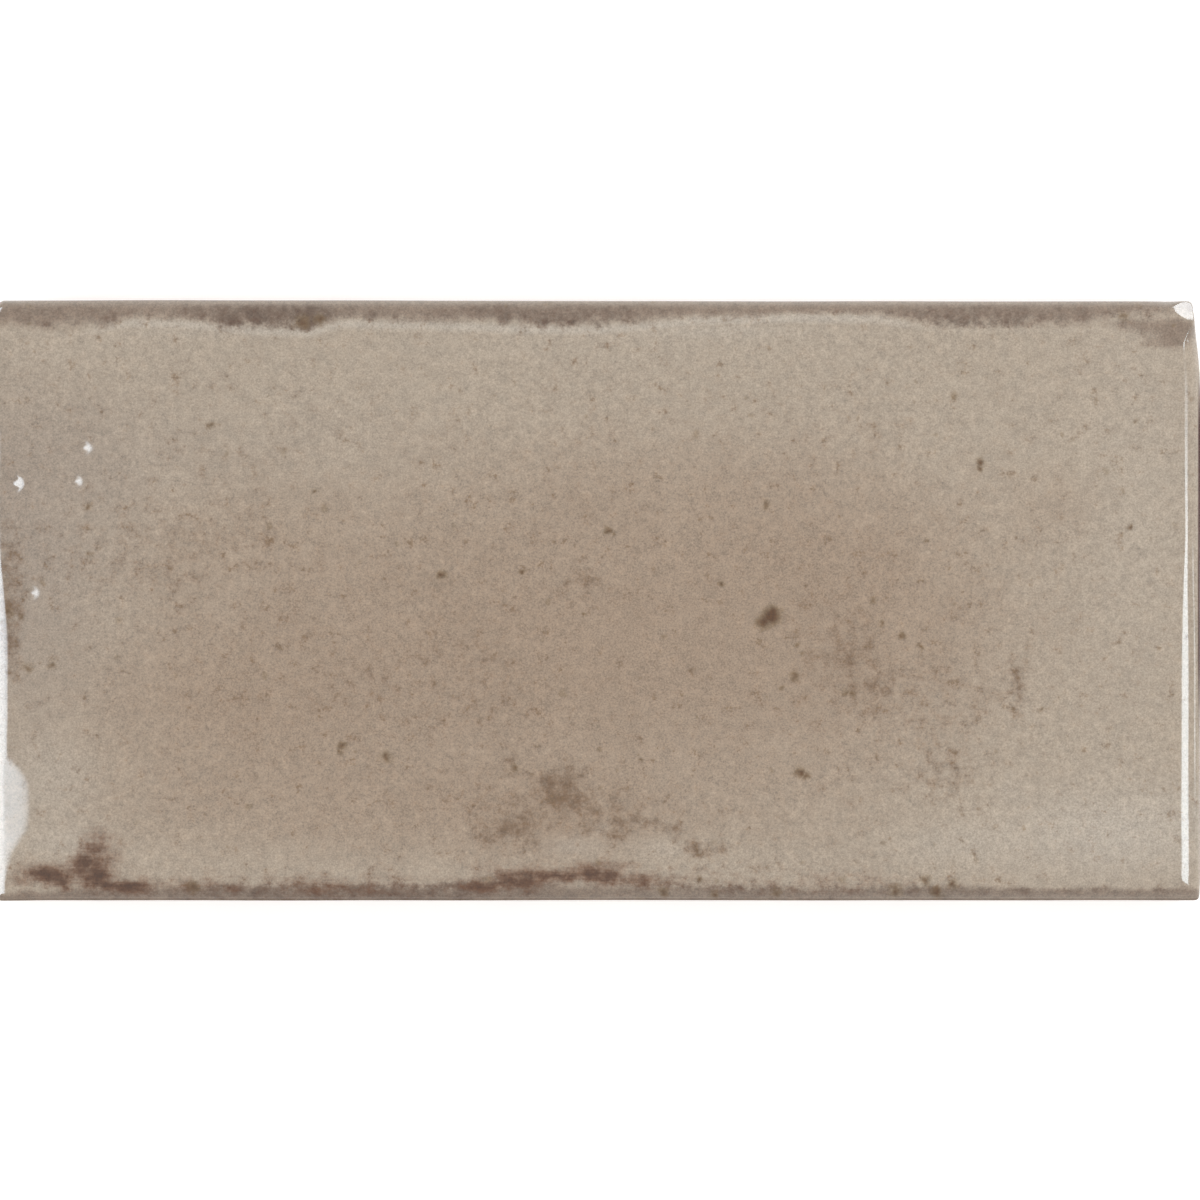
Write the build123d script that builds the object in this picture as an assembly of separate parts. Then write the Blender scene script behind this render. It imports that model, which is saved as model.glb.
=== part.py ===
"""Glazed ceramic wall tile in the 2:1 brick format, pressed and fired as one piece.

Millimetres. The tile lies on its back: X runs along its length, Y across its width, and +Z
points out of the glazed face. The origin is the centre of the back's bedding plane.
"""
from build123d import *
from math import cos, pi
import os

# Overall format
tile_length = 150.0
tile_width = 75.0
tile_thickness = 8.5
corner_radius = 2.4

# Glazed face: shallow hand-made waves, rolled over into the sides
edge_roll_radius = 2.0
wave_height = 0.3
wave_pitch_along = 96.0
wave_pitch_across = 64.0
wave_crest_along = 14.0
wave_crest_across = -9.0

# Sides: an upright land below the roll meets the joint, and the rest leans in for the die
joint_land_height = 2.6
side_draft_degrees = 2.0
back_chamfer = 0.6

# Back: a raised rim and raised ribs around shallow pockets that key into the adhesive
pocket_columns = 12
pocket_rows = 6
back_rim_width = 4.5
rib_width = 2.4
pocket_depth = 0.9
pocket_draft_degrees = 30.0
pocket_corner_cut = 1.0

# The wave is fitted through points this far apart
wave_point_spacing = 10.0


def face_height(x, y):
    """Height of the glazed face: its crests reach the full thickness, its hollows dip below it."""
    along = cos(2 * pi * (x - wave_crest_along) / wave_pitch_along)
    across = cos(2 * pi * (y - wave_crest_across) / wave_pitch_across)
    return tile_thickness - wave_height * (1 - along * across) / 2


def stations(extent):
    """Evenly spaced stations that reach a little past both ends of an extent."""
    reach = extent / 2 + wave_point_spacing
    count = max(4, round(2 * reach / wave_point_spacing))
    return [reach * (2 * i / count - 1) for i in range(count + 1)]


def above_the_face():
    """A slab whose underside is the waved face, tall enough to clear the blank's overfill."""
    grid = [
        [(x, y, face_height(x, y)) for y in stations(tile_width)]
        for x in stations(tile_length)
    ]
    wave = Face.make_surface_from_array_of_points(grid, tol=0.002, min_deg=3, max_deg=5)
    return extrude(wave, amount=3 * wave_height, dir=(0, 0, 1))


def pressed_blank():
    """The block in its die: upright from the foot of the joint land to a little over the crests
    of the face, and drafted from that foot down to the back."""
    land_foot = tile_thickness - wave_height - edge_roll_radius - joint_land_height
    overfilled_top = tile_thickness + wave_height
    plan = Pos(0, 0, land_foot) * RectangleRounded(tile_length, tile_width, corner_radius)
    upper = extrude(plan, amount=overfilled_top - land_foot)
    lower = extrude(plan, amount=-land_foot, taper=side_draft_degrees)
    return upper + lower


def rolled_face(blank):
    """The blank with its face waved and its upper edges rolled over."""
    waved = blank - above_the_face()
    crown = waved.faces().sort_by(Axis.Z)[-1]
    return fillet(crown.edges(), edge_roll_radius)


def key_pockets():
    """The drafted, corner-cut pockets between the ribs of the back."""
    length = (tile_length - 2 * back_rim_width - (pocket_columns - 1) * rib_width) / pocket_columns
    width = (tile_width - 2 * back_rim_width - (pocket_rows - 1) * rib_width) / pocket_rows
    mouth = chamfer(Rectangle(length, width).vertices(), pocket_corner_cut)
    pocket = extrude(mouth, amount=pocket_depth, taper=pocket_draft_degrees)
    places = GridLocations(
        length + rib_width, width + rib_width, pocket_columns, pocket_rows
    )
    return [place * pocket for place in places]


def make_tile():
    """The whole tile."""
    body = rolled_face(pressed_blank())
    back = body.faces().sort_by(Axis.Z)[0]
    body = chamfer(back.edges(), back_chamfer)
    return body - key_pockets()


tile = make_tile()
os.makedirs("parts", exist_ok=True)
export_step(tile, "parts/tile.step")
box = tile.bounding_box()
print("tile", box.size, "volume", round(tile.volume), "solids", len(tile.solids()))
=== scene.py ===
"""Glazed wall tile in the 2:1 format, dressed for a camera that looks straight down on it.

The tile is one closed surface: a waved glazed face, a rolled rim, sides where the glaze runs out
over bare clay, and a ribbed back. Lengths are in metres and colours are linear. +X runs along the
tile, +Y towards the top of the photograph and +Z out of the glazed face.
"""

from collections import namedtuple
from math import cos, pi, radians, sin, sqrt, tan

import bpy
import numpy as np
from bpy.props import FloatProperty, FloatVectorProperty, PointerProperty
from mathutils import Matrix, Vector


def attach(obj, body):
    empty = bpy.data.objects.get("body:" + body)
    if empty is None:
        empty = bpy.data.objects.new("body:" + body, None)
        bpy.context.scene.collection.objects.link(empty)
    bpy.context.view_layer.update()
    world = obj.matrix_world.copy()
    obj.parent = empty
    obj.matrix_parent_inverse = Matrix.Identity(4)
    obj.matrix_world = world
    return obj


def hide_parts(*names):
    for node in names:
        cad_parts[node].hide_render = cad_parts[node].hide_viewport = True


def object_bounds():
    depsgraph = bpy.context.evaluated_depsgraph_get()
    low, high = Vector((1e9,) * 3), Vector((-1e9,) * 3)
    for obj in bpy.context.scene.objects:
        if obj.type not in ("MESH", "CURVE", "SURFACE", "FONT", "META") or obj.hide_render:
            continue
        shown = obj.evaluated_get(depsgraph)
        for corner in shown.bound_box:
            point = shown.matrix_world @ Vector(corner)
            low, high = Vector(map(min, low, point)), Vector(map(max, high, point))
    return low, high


bl_info = {
    "name": "Hand-glazed wall tile",
    "version": (1, 0, 0),
    "blender": (4, 5, 0),
    "location": "3D View > Sidebar > Wall tile",
    "description": "Builds a waved, glazed wall tile with a ribbed back and lights it",
    "category": "Add Mesh",
}

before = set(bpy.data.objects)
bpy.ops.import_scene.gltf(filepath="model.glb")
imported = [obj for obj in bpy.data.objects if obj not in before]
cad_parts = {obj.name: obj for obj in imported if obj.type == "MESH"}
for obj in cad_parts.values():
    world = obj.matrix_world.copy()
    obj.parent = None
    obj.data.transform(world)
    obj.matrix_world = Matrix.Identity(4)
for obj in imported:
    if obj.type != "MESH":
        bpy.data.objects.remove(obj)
CAD_LOW, CAD_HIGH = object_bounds()
MM = 0.001

# The photograph's framing: its side in pixels, its scale at the outline and on the face, which
# lies nearer the camera, and how far its centre lies from the tile's
PHOTO_SIDE = 1200.0
OUTLINE_PIXELS_PER_MM = 8.05
FACE_PIXELS_PER_MM = 8.087
PHOTO_CENTRE_ACROSS = 0.36 * MM
PIXEL = MM / FACE_PIXELS_PER_MM

# Shared with the solid: the long waves' crest nearest the middle, and the back's pockets
WAVE_CREST_ALONG = 14 * MM
WAVE_CREST_ACROSS = -9 * MM
POCKET_SPACING = 12 * MM
POCKET_WALL = radians(30)
POCKET_CORNER_CUT = 1.0 * MM

# How far the face's grid of heights ends inside the outline, and how far the back's grid ends
# outside its first pockets
FACE_INSET = 5 * MM
BED_MARGIN = 0.6 * MM

# The length beside a corner over which stations of the grid spread towards the outline's
CORNER_SPREAD = 7 * MM

# Each unevenness: its wavelength and the seed of its waves
SHORT_RIPPLES = (13 * MM, 5)
ROLL_WIDTH_DRIFT = (22 * MM, 17)
ROLL_DROP_DRIFT = (30 * MM, 23)
OUTLINE_WAVER = (26 * MM, 31)
GLAZE_RUNS = (9 * MM, 41)
GLAZE_DRIPS = (3.2 * MM, 43)
CLAY_CHIPS = (4 * MM, 47)

# The photograph's rows or columns between which a feature comes or goes
SAG_BULGES = (728, 786)
SAG_TAPERS = (826, 858)
SAG_ENDS = (850, 915)
RIGHT_ROLL_WIDENS = (520, 680)
LEFT_ROLL_STEPS = (400, 450)
LEFT_ROLL_WIDENS = (545, 650)
LEFT_ROLL_SWELLS = (600, 680)
LEFT_LOBE_STARTS = (720, 780)
LOWER_WEAR_STARTS = (560, 700)
HALO_STARTS = (60, 150)
HALO_FADES = (860, 950)
BARE_AND_SHADED_EDGE_STARTS = (350, 430)
BARE_AND_SHADED_EDGE_ENDS = (650, 760)

# The pixel in the middle of the line where the upper right corner's facet starts, and the column
# and half width, in pixels, of a gap in the lower edge's wear
FACET_START = (1168, 309)
LOWER_WEAR_GAP = (780, 70)


def measure(name, description, default):
    """A length in metres, as a property."""
    return FloatProperty(name=name, description=description, unit="LENGTH", default=default)


def shade(name, description, default, **limits):
    """A linear colour or a radiance, as a property."""
    return FloatVectorProperty(
        name=name, description=description, subtype="COLOR", default=default, **limits
    )


class TileSizes(bpy.types.PropertyGroup):
    """Sizes of the fired tile."""

    length: measure("Length", "Overall length", CAD_HIGH.x - CAD_LOW.x)
    width: measure("Width", "Overall width", CAD_HIGH.y - CAD_LOW.y)
    thickness: measure("Thickness", "Height of the face's crests", CAD_HIGH.z - 0.02 * MM)
    upper_left_corner: measure("Upper left corner", "Its radius in plan", 1.5 * MM)
    upper_right_corner: measure("Upper right corner", "Its radius in plan", 1.5 * MM)
    lower_left_corner: measure("Lower left corner", "Its radius in plan", 1.1 * MM)
    lower_right_corner: measure("Lower right corner", "Its radius in plan", 0.8 * MM)
    wave_height: measure("Wave height", "Crest to hollow of the long waves", 0.3 * MM)
    wave_pitch_along: measure("Wave pitch along", "Crest to crest along the tile", 96 * MM)
    wave_pitch_across: measure("Wave pitch across", "Crest to crest across the tile", 64 * MM)
    ripple_height: measure("Ripple height", "Height of the short ripples in the glaze", 0.03 * MM)
    roll_width: measure("Roll width", "Outline to where the face starts to roll over", 2.6 * MM)
    roll_drop: measure("Roll drop", "Fall of the roll before the side is upright", 1.9 * MM)
    glaze_line: measure("Glaze line", "Height on the sides where the glaze runs out", 3.4 * MM)
    land_foot: measure("Land foot", "Height where the upright side meets its draft", 3.6 * MM)
    side_draft: FloatProperty(
        name="Side draft", description="Lean of the lower side", subtype="ANGLE",
        default=radians(2),
    )
    back_chamfer: measure("Back chamfer", "Cut along the back's outline", 0.6 * MM)
    back_rim: measure("Back rim", "Outline to the first pocket", 4.5 * MM)
    rib_width: measure("Rib width", "Rib between two pockets of the back", 2.4 * MM)
    pocket_depth: measure("Pocket depth", "Depth of the back's pockets", 0.9 * MM)


class TileColours(bpy.types.PropertyGroup):
    """Colours of the glaze and the clay, linear."""

    taupe: shade("Taupe", "The glaze over most of the face", (0.385, 0.316, 0.246))
    pale: shade("Pale", "Where the glaze lies thin inside the rim", (0.455, 0.398, 0.335))
    warm: shade("Warm", "The browner middle of the face", (0.316, 0.233, 0.166))
    # Partly the glaze's own tone and partly a painted reflection over the left end
    cool: shade("Cool", "The greyer left end of the face", (0.322, 0.261, 0.208))
    rim: shade("Rim", "Brown of the stained rim", (0.234, 0.174, 0.130))
    blotch: shade("Blotch", "Dark blotches in the rim", (0.105, 0.062, 0.040))
    rust: shade("Rust", "Red-brown of the iron stains", (0.126, 0.046, 0.012))
    smoke_and_shade: shade("Smoke", "Brown of the smudges", (0.155, 0.090, 0.046))
    # Smudges, and painted shade along the left edge
    olive: shade("Olive", "Faint stains round the specks", (0.188, 0.124, 0.060))
    speck: shade("Speck", "Dark brown of the iron specks", (0.090, 0.035, 0.006))
    char: shade("Char", "Near black heart of the iron stains", (0.060, 0.026, 0.012))
    # Painted shade: far darker than the clay, it stands for the right edge's side in shadow
    edge: shade("Edge", "Maroon of the bare right edge", (0.060, 0.020, 0.016))
    clay: shade("Clay", "The bare red body", (0.420, 0.205, 0.125))
    clay_dust: shade("Clay dust", "The pale bloom on the bare body", (0.560, 0.370, 0.270))


class StudioSettings(bpy.types.PropertyGroup):
    """The camera and the lamps."""

    lens: FloatProperty(name="Lens", description="Focal length in millimetres", default=100.0)
    fill: shade("Fill", "Radiance of the even surroundings", (0.66, 0.61, 0.56))
    low_left: shade("Low left", "Radiance of the low left lamps", (7.9, 8.7, 9.4), soft_max=20.0)
    high_left: shade("High left", "Radiance of the high left card", (5.8, 6.7, 7.5), soft_max=20.0)
    right: shade("Right", "Radiance of the right softbox", (7.5, 8.5, 9.1), soft_max=20.0)
    corner: shade("Corner", "Radiance of the corner softbox", (9.0, 9.6, 10.2), soft_max=20.0)


def rows_of(kind, *rows):
    """A table of one kind of row from its numbers."""
    return [kind(*row) for row in rows]


# A place on the face in photograph pixels, its half width and half height, and its strength
Wash = namedtuple("Wash", "across down half_width half_height strength")

# The greyer left end is partly the glaze's own tone and partly a painted reflection, a bluish grey
# veil
COOL_WASHES = rows_of(
    Wash,
    (-10, 560, 130, 190, 0.95), (80, 460, 150, 70, 0.5), (330, 440, 130, 60, 0.3),
)
WARM_WASHES = rows_of(
    Wash,
    (560, 650, 380, 150, 0.95), (250, 705, 190, 85, 0.7), (830, 610, 170, 130, 0.8),
    (640, 500, 260, 90, 0.45), (540, 810, 110, 50, 0.8), (330, 810, 260, 60, 0.55),
    (240, 540, 170, 70, 0.42), (1060, 500, 60, 40, 0.35), (760, 800, 160, 60, 0.3),
)
PALE_WASHES = rows_of(
    Wash,
    (1140, 480, 80, 260, 0.3), (60, 350, 120, 30, 0.25), (1120, 830, 120, 55, 0.65),
    (960, 845, 90, 30, 0.4), (620, 345, 420, 24, 0.22), (710, 330, 110, 9, 0.38),
    (190, 331, 70, 8, 0.32), (50, 780, 60, 60, 0.45), (60, 845, 60, 20, 0.4),
    (575, 846, 42, 14, 0.42), (602, 828, 8, 9, 0.4), (662, 849, 32, 14, 0.42),
    (1009, 790, 14, 14, 0.3),
)
SMOKE_AND_SHADE_WASHES = rows_of(
    Wash,
    (552, 784, 14, 9, 0.85), (573, 771, 14, 10, 0.8), (567, 800, 16, 13, 0.62),
    (552, 790, 36, 26, 0.34), (512, 764, 8, 15, 0.58), (541, 815, 14, 6, 0.52),
    (512, 823, 14, 10, 0.52), (500, 834, 24, 12, 0.48), (532, 838, 9, 15, 0.46),
    (476, 815, 14, 16, 0.4), (512, 815, 50, 28, 0.34), (590, 828, 10, 13, 0.58),
    (617, 836, 16, 8, 0.74), (624, 824, 22, 10, 0.48), (602, 802, 32, 18, 0.38),
    (648, 820, 20, 7, 0.52), (668, 826, 14, 7, 0.56), (677, 835, 9, 8, 0.6),
    (692, 846, 14, 11, 0.38), (707, 856, 30, 16, 0.34), (725, 846, 14, 9, 0.32),
    (1018, 690, 10, 40, 0.62), (945, 775, 36, 28, 0.52), (840, 650, 60, 60, 0.38),
    # The washes across 8 and 9, at the left edge, are partly a stain and partly painted shade
    # beside the left highlight
    (905, 700, 70, 40, 0.34), (8, 612, 16, 34, 0.58), (8, 570, 13, 50, 0.46),
    (9, 662, 12, 40, 0.4), (578, 582, 30, 26, 0.4), (230, 540, 60, 40, 0.3),
    (400, 680, 160, 60, 0.26), (110, 540, 80, 60, 0.22),
)
STAIN_WASHES = rows_of(
    Wash,
    (1180, 330, 27, 17, 0.76), (1160, 344, 34, 12, 0.52), (1125, 324, 60, 12, 0.58),
)
BLOTCH_WASHES = rows_of(
    Wash,
    (1184, 327, 14, 11, 0.74), (1166, 334, 14, 9, 0.5),
)
RUST_WASHES = rows_of(
    Wash,
    (86, 867, 15, 15, 1), (91, 850, 11, 14, 0.62), (98, 836, 10, 14, 0.52),
    (107, 858, 16, 22, 0.7), (106, 885, 20, 5, 0.8), (98, 880, 13, 9, 0.92), (40, 874, 24, 11, 1),
    (62, 882, 13, 9, 0.98), (64, 869, 14, 10, 0.5), (20, 882, 14, 7, 0.4), (135, 888, 20, 9, 1),
    (180, 880, 60, 7, 0.28), (194, 887, 24, 7, 0.58), (230, 890, 10, 5, 0.62),
    (316, 888, 42, 10, 0.62), (390, 890, 60, 8, 0.44), (340, 878, 120, 12, 0.2),
    (482, 886, 24, 8, 0.92), (506, 880, 20, 9, 0.8), (526, 880, 15, 11, 0.92),
    (556, 876, 24, 8, 0.86), (592, 874, 20, 8, 1), (607, 878, 12, 10, 0.9),
    (632, 880, 20, 7, 0.62), (648, 883, 11, 5, 0.52), (598, 866, 50, 8, 0.36),
    (668, 879, 50, 9, 0.36), (510, 871, 34, 9, 0.34), (820, 884, 150, 15, 0.36),
)

# How far the stained rim reaches into the face along the upper and the lower edge, in pixels, how
# dark its blotches are, and how strong its stain is
RimReach = namedtuple("RimReach", "across reach blotch stain", defaults=(1.0,))
UPPER_RIM = rows_of(
    RimReach,
    (0, 30, 0.45), (70, 33, 0.58), (130, 20, 0.42), (180, 21, 0.6), (250, 27, 0.78),
    (310, 30, 0.98), (340, 21, 0.55), (380, 22, 0.5), (440, 23, 0.56), (520, 26, 0.66),
    (600, 27, 0.72), (650, 23, 0.58), (700, 18, 0.42), (800, 15, 0.38), (880, 16, 0.48),
    (930, 26, 0.7), (1000, 27, 0.7), (1085, 27, 0.55), (1120, 26, 0.4, 0.74),
    (1200, 26, 0.3, 0.66),
)
LOWER_RIM = rows_of(
    RimReach,
    (0, 14, 0.3, 0.74), (70, 16, 0.42, 0.8), (130, 16, 0.58), (200, 16, 0.62), (300, 17, 0.7),
    (400, 17, 0.76), (470, 19, 0.74), (540, 23, 0.46, 0.94), (600, 22, 0.42, 0.9),
    (660, 22, 0.5, 0.84), (720, 17, 0.62, 0.92), (790, 14, 0.62), (860, 14, 0.6), (930, 17, 0.66),
    (1000, 14, 0.55), (1200, 13, 0.48),
)

# Iron specks: place, radius in pixels and strength
Speck = namedtuple("Speck", "across down radius strength")
SPECKS = rows_of(
    Speck,
    (771, 616, 8, 1.4), (764, 622, 7, 1.3), (981, 462, 5.5, 0.85), (980, 468, 4.5, 0.75),
    (441, 575, 6, 0.92), (608, 530, 5, 0.88), (614, 533, 4, 0.6), (342, 746, 6, 0.75),
    (340, 752, 5, 0.6), (386, 757, 8, 0.78), (800, 772, 7.5, 0.8), (806, 776, 6, 0.66),
    (1130, 526, 3.6, 0.7), (210, 425, 6.5, 0.6), (314, 491, 5.5, 0.6), (722, 584, 4, 0.82),
    (52, 666, 6.5, 0.68), (28, 669, 8, 0.55), (20, 618, 5, 0.4), (699, 881, 5, 0.82),
    (766, 506, 7, 0.5), (522, 572, 4.2, 0.66), (584, 614, 4.2, 0.62), (902, 636, 6, 0.6),
    (920, 647, 5, 0.6), (846, 692, 7, 0.6), (852, 694, 5.5, 0.55), (795, 677, 7, 0.62),
    (797, 646, 5.5, 0.58), (802, 654, 5, 0.5), (873, 602, 6, 0.55), (882, 624, 5.5, 0.5),
    (927, 541, 5, 0.52), (1042, 710, 5.5, 0.45), (89, 507, 6, 0.48), (89, 554, 7, 0.52),
    (1135, 421, 5, 0.48), (515, 768, 6.5, 0.62), (1188, 636, 3, 0.9), (1124, 316, 8, 0.6),
    (896, 891, 8, 0.85), (926, 881, 7, 0.8), (937, 892, 8, 0.85), (953, 885, 7, 0.8),
    (777, 893, 7, 0.75), (663, 892, 7, 0.7), (641, 761, 4, 0.55), (714, 896, 6, 0.75),
    (193, 886, 8, 0.75), (302, 322, 9, 0.85), (320, 320, 8, 0.8), (664, 636, 6, 0.42),
    (782, 688, 5, 0.45), (2, 622, 3.5, 0.95), (9, 613, 5, 0.8),
)

# Pinholes in the glaze: place and half width in pixels, and how dull the glaze is inside
Pinhole = namedtuple("Pinhole", "across down half_width dullness")
PINHOLES = rows_of(
    Pinhole,
    (11, 483.5, 11, 0.1), (81.6, 448, 8.5, 0.28), (73.4, 481.5, 7.5, 0.32), (29.7, 593, 8, 0.36),
)

# The noises of the glaze: their size in millimetres, detail and roughness
Noise = namedtuple("Noise", "size detail roughness")
DRIFT = Noise(7.0, 3.0, 0.65)
FRAY = Noise(1.6, 3.0, 0.75)
BEND = Noise(0.9, 0.0, 0.5)
STREAKS = Noise(1.0, 2.0, 0.7)
ORANGE_PEEL = Noise(2.4, 0.0, 0.5)
CLAY_PATCHES = Noise(9.0, 4.0, 0.6)

# A coat of colour on the glaze: its map, how much of the drifting and of the fraying noise is
# added, between which values it sets in, and its colour
Coat = namedtuple("Coat", "field by_cloud by_fray low high colour")
WASH_COATS = rows_of(
    Coat,
    ("warm_wash", 0.14, 0.06, 0.04, 0.95, "warm"),
    ("cool_wash", 0.14, 0.05, 0.06, 1.0, "cool"),
    ("pale_wash", 0.14, 0.10, 0.04, 1.0, "pale"),
    ("smoke_and_shade", 0.24, 0.90, 0.09, 1.08, "smoke_and_shade"),
)
RIM_COATS = rows_of(
    Coat,
    ("rim_stain", 0.18, 0.20, 0.40, 0.68, "rim"),
    ("rim_blotch", 0.40, 0.60, 0.42, 1.10, "blotch"),
)

# The Mix node's sockets for colours, and its result
MIX_FACTOR, MIX_FIRST, MIX_SECOND, MIX_RESULT = 0, 6, 7, 2

# Edges of the mesh are shaded sharp where their faces meet at more than this
SHARP_ANGLE = radians(38)

# How far each lamp stands from the place that it aims at
LAMP_DISTANCE = 0.8


def photo_place(across, down):
    """The point on the face, in metres, that a pixel of the photograph shows."""
    return (
        (across - PHOTO_SIDE / 2) * PIXEL + PHOTO_CENTRE_ACROSS,
        (PHOTO_SIDE / 2 - down) * PIXEL,
    )


def photo_row(y):
    """The row of the photograph that shows the face at y."""
    return PHOTO_SIDE / 2 - y / PIXEL


def ease(low, high, value):
    """0 up to low, 1 from high on, and a cubic ease between them."""
    share = np.clip((value - low) / (high - low), 0.0, 1.0)
    return share * share * (3.0 - 2.0 * share)


def swell(value, middle, half):
    """A smooth swell of height 1: the exponential of minus the squared distance over its half."""
    return np.exp(-(((value - middle) / half) ** 2))


def hill(x, y, place, half_x, half_y):
    """A smooth hill of height 1: the exponential of minus the squared distance over its halves."""
    return np.exp(-(((x - place[0]) / half_x) ** 2) - ((y - place[1]) / half_y) ** 2)


def uneven(x, y, wavelength, seed, waves=9):
    """Smooth unevenness of about -1 to 1: a sum of sine waves of about one length, each with its
    own heading and phase drawn from the seed."""
    draw = np.random.default_rng(seed)
    heading = draw.uniform(0, 2 * pi, waves)
    phase = draw.uniform(0, 2 * pi, waves)
    pitch = wavelength * draw.uniform(0.7, 1.5, waves)
    total = np.zeros_like(x)
    for turn, start, step in zip(heading, phase, pitch):
        total += np.sin(2 * pi * (x * cos(turn) + y * sin(turn)) / step + start)
    return total / sqrt(2 * waves)


def stations(low, high, count, crowds):
    """count + 1 stations from low to high, crowded about each (place, spread, gain): equal steps
    of a running total whose density is 1 plus the gains' swells."""
    fine = np.linspace(low, high, 4001)
    density = np.ones_like(fine)
    for place, spread, gain in crowds:
        density += gain * swell(fine, place, spread)
    total = np.concatenate(([0.0], np.cumsum((density[1:] + density[:-1]) / 2)))
    return np.interp(np.linspace(0, total[-1], count + 1), total, fine)


def face_stations(edge, direction, count):
    """Stations across the face, crowded about the pinholes and towards both ends, along X where
    direction is 0 and along Y where it is 1."""
    holes = [photo_place(hole.across, hole.down)[direction] for hole in PINHOLES]
    crowds = [(place, 0.6 * MM, 7.0) for place in holes]
    crowds += [(side * edge, 2.0 * MM, 2.5) for side in (-1, 1)]
    return stations(-edge, edge, count - 1, crowds)


def pocket_layout(sizes, extent):
    """Pocket centres and their half size along one direction of the back."""
    count = round((extent - 2 * sizes.back_rim + sizes.rib_width) / POCKET_SPACING)
    pocket = (extent - 2 * sizes.back_rim - (count - 1) * sizes.rib_width) / count
    pitch = pocket + sizes.rib_width
    return (np.arange(count) - (count - 1) / 2) * pitch, pocket / 2


def back_stations(sizes, extent):
    """Stations across the back that fall on each pocket's lip, wall and floor."""
    lip, floor_edge = 0.12 * MM, 0.3 * MM
    centres, half = pocket_layout(sizes, extent)
    run = sizes.pocket_depth * tan(POCKET_WALL)
    inward = np.array([-lip, 0.0, 0.35 * run, 0.7 * run, run, run + floor_edge])
    floor = np.linspace(half - run - floor_edge, 0, 4)[1:]
    one_side = np.concatenate((half - inward, floor))
    pocket = np.unique(np.round(np.concatenate((-one_side, one_side)), 9))
    ribs = (centres[1:] + centres[:-1]) / 2
    ends = np.array([-1, 1]) * (extent / 2 - (sizes.back_rim - BED_MARGIN))
    every = np.concatenate(((centres[:, None] + pocket).ravel(), ribs, ends))
    return np.unique(np.round(every, 9))


def soft_ramp(value, soft):
    """The value where it is well above 0, 0 where it is well below, and a smooth turn between:
    the log of one plus its exponential."""
    return soft * np.log1p(np.exp(np.clip(value / soft, -30, 30)))


def face_height(sizes, x, y):
    """Height of the face: long waves, crossed cosines as in the solid, less short ripples, the
    sag at the left end and the facet of the upper right corner."""
    along = np.cos(2 * pi * (x - WAVE_CREST_ALONG) / sizes.wave_pitch_along)
    across = np.cos(2 * pi * (y - WAVE_CREST_ACROSS) / sizes.wave_pitch_across)
    waves = sizes.wave_height * (1 - along * across) / 2
    ripple = sizes.ripple_height * (1 + uneven(x, y, *SHORT_RIPPLES)) / 2
    height = sizes.thickness - waves - np.maximum(ripple, 0)
    return height - left_sag(sizes, x, y) - corner_facet(x, y)


def left_sag(sizes, x, y):
    """How far the face sags at its left end: an even fall from a line that bulges into the face
    low down and tapers away at the corner."""
    fall, soft = radians(13), 0.42 * MM
    start, bulge = 0.9 * MM, 4.5 * MM
    down = photo_row(y)
    tapering = 0.5 * ease(*SAG_TAPERS, down) + 0.5 * ease(*SAG_ENDS, down)
    line = start + bulge * ease(*SAG_BULGES, down) * (1 - tapering)
    return tan(fall) * soft_ramp(line - (x + sizes.length / 2), soft)


def corner_facet(x, y):
    """How far the upper right corner falls away, evenly, beyond a slanting line across it."""
    fall, heading, soft = radians(24), radians(56), 0.10 * MM
    middle = photo_place(*FACET_START)
    beyond = (x - middle[0]) * cos(heading) + (y - middle[1]) * sin(heading)
    return tan(fall) * soft_ramp(beyond, soft)


def sink_pinholes(x, y, z):
    """The face with its pinholes sunk, each a dimple that falls away more gently on its left: a
    depth, as a share of its radius, times the swell of the stretched distance."""
    left_stretch, right_stretch = 2.2, 1.15
    depth, spread = 0.52, 0.66
    for hole in PINHOLES:
        place = photo_place(hole.across, hole.down)
        radius = hole.half_width * PIXEL
        across = x - place[0]
        stretch = np.where(across < 0, left_stretch, right_stretch)
        away = np.hypot(across / stretch, y - place[1]) / radius
        z = z - depth * radius * swell(away, 0, spread)
    return z


def side_walk(stations_along, inner_half, outer_half, first_corner, last_corner):
    """Where stations of an inner side land on the rounded outline. Each goes as far along the
    outline, by arc length, as it is along the inner side, plus a share that grows towards the
    corner. Returns the distance along, the distance in from the side's line, and the turn of the
    outward normal towards the corner."""
    share = stations_along / inner_half
    corner = np.where(share < 0, first_corner, last_corner)
    reach = outer_half - corner + corner * pi / 4
    power = inner_half / CORNER_SPREAD
    walked = inner_half * np.abs(share) + (reach - inner_half) * np.abs(share) ** power
    turn = np.clip((walked - (outer_half - corner)) / corner, 0.0, pi / 4)
    along = np.minimum(walked, outer_half - corner) + corner * np.sin(turn)
    return np.sign(share) * along, corner * (1 - np.cos(turn)), np.sign(share) * turn


def around(lower, right, upper, left):
    """One closed loop, anticlockwise from the lower left corner, from values along four sides.
    Each side gives its values from left to right or from bottom to top."""
    return np.concatenate((lower[:-1], right[:-1], upper[:0:-1], left[:0:-1]))


def loop_of(grid):
    """The boundary of a grid indexed [across, up], as around() orders it."""
    return around(grid[:, 0], grid[-1, :], grid[:, -1], grid[0, :])


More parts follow.
